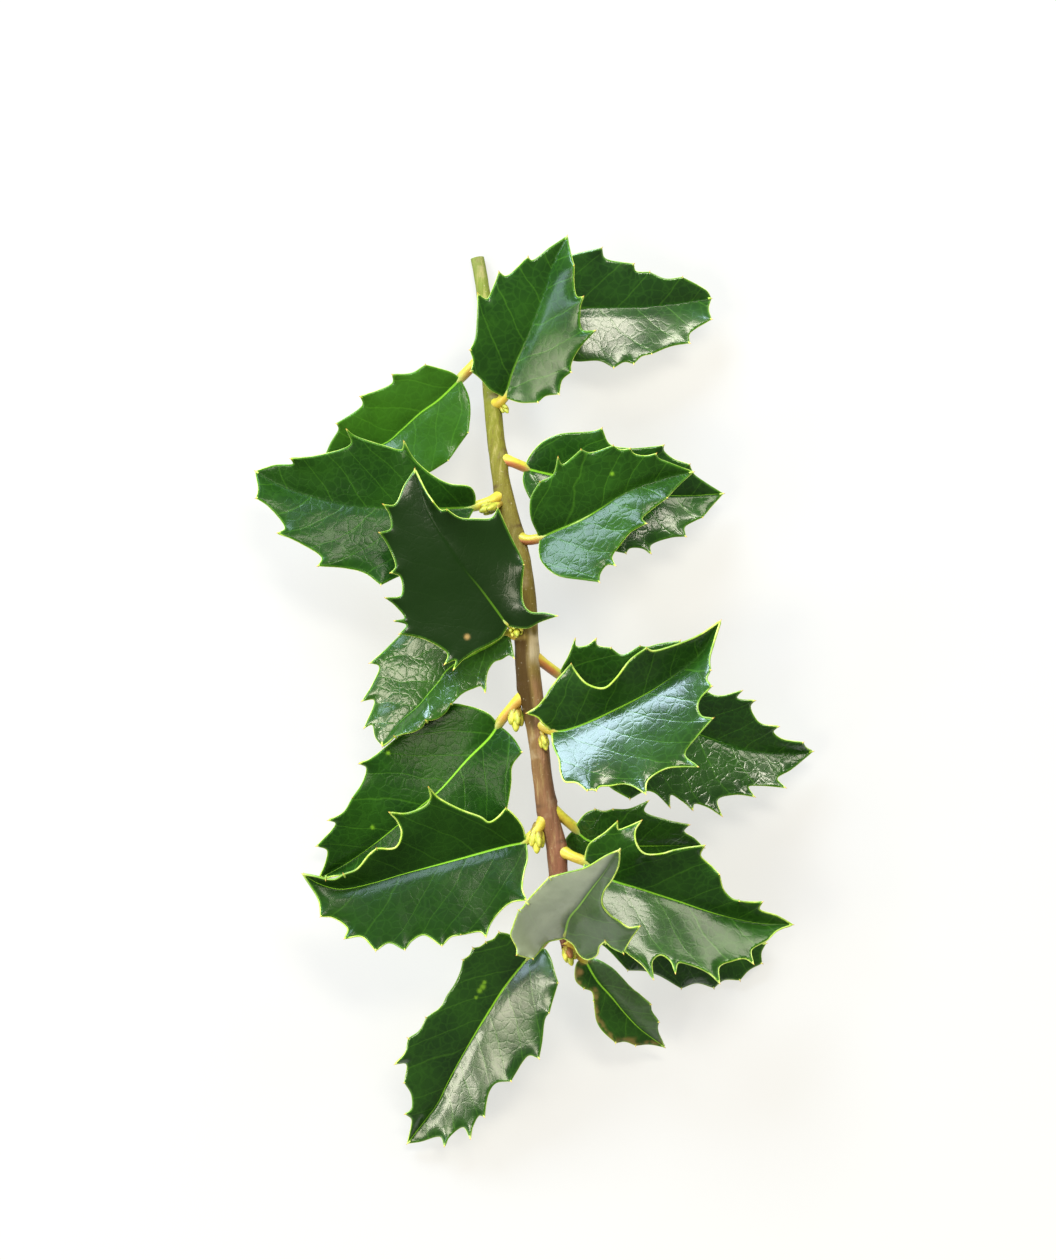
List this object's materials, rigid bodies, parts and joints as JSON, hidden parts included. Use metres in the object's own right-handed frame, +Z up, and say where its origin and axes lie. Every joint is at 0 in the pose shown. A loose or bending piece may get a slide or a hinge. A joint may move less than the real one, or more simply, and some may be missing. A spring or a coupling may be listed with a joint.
{
  "type": "holly sprig",
  "caption": "A cut sprig of common holly with glossy, waved, spiny leaves on a woody twig, lying flat on a surface",
  "frame": {"origin": "centre of the lowest face of the sprig's box, on the surface it lies on", "axes": "+Z up from the surface, +Y along the twig to its cut end, -Y to the growing tip"},
  "size_m": [0.1397, 0.228, 0.06],
  "materials": {
    "leaf": "glossy waxy leaf",
    "bark": "smooth matt young bark",
    "bud": "satin bud scales"
  },
  "bodies": {
    "root": {"stem": "bark", "leaf_01": "leaf", "leaf_02": "leaf", "leaf_03": "leaf", "leaf_04": "leaf", "leaf_05": "leaf", "leaf_06": "leaf", "leaf_07": "leaf", "leaf_08": "leaf", "leaf_09": "leaf", "leaf_10": "leaf", "leaf_11": "leaf", "leaf_12": "leaf", "leaf_13": "leaf", "leaf_14": "leaf", "leaf_15": "leaf", "leaf_16": "leaf", "leaf_17": "leaf", "leaf_18": "leaf", "buds_leaf_01": "bud", "buds_leaf_04": "bud", "buds_leaf_05": "bud", "buds_leaf_10": "bud", "buds_leaf_11": "bud", "buds_leaf_12": "bud", "terminal_bud": "bud"}
  },
  "joints": []
}
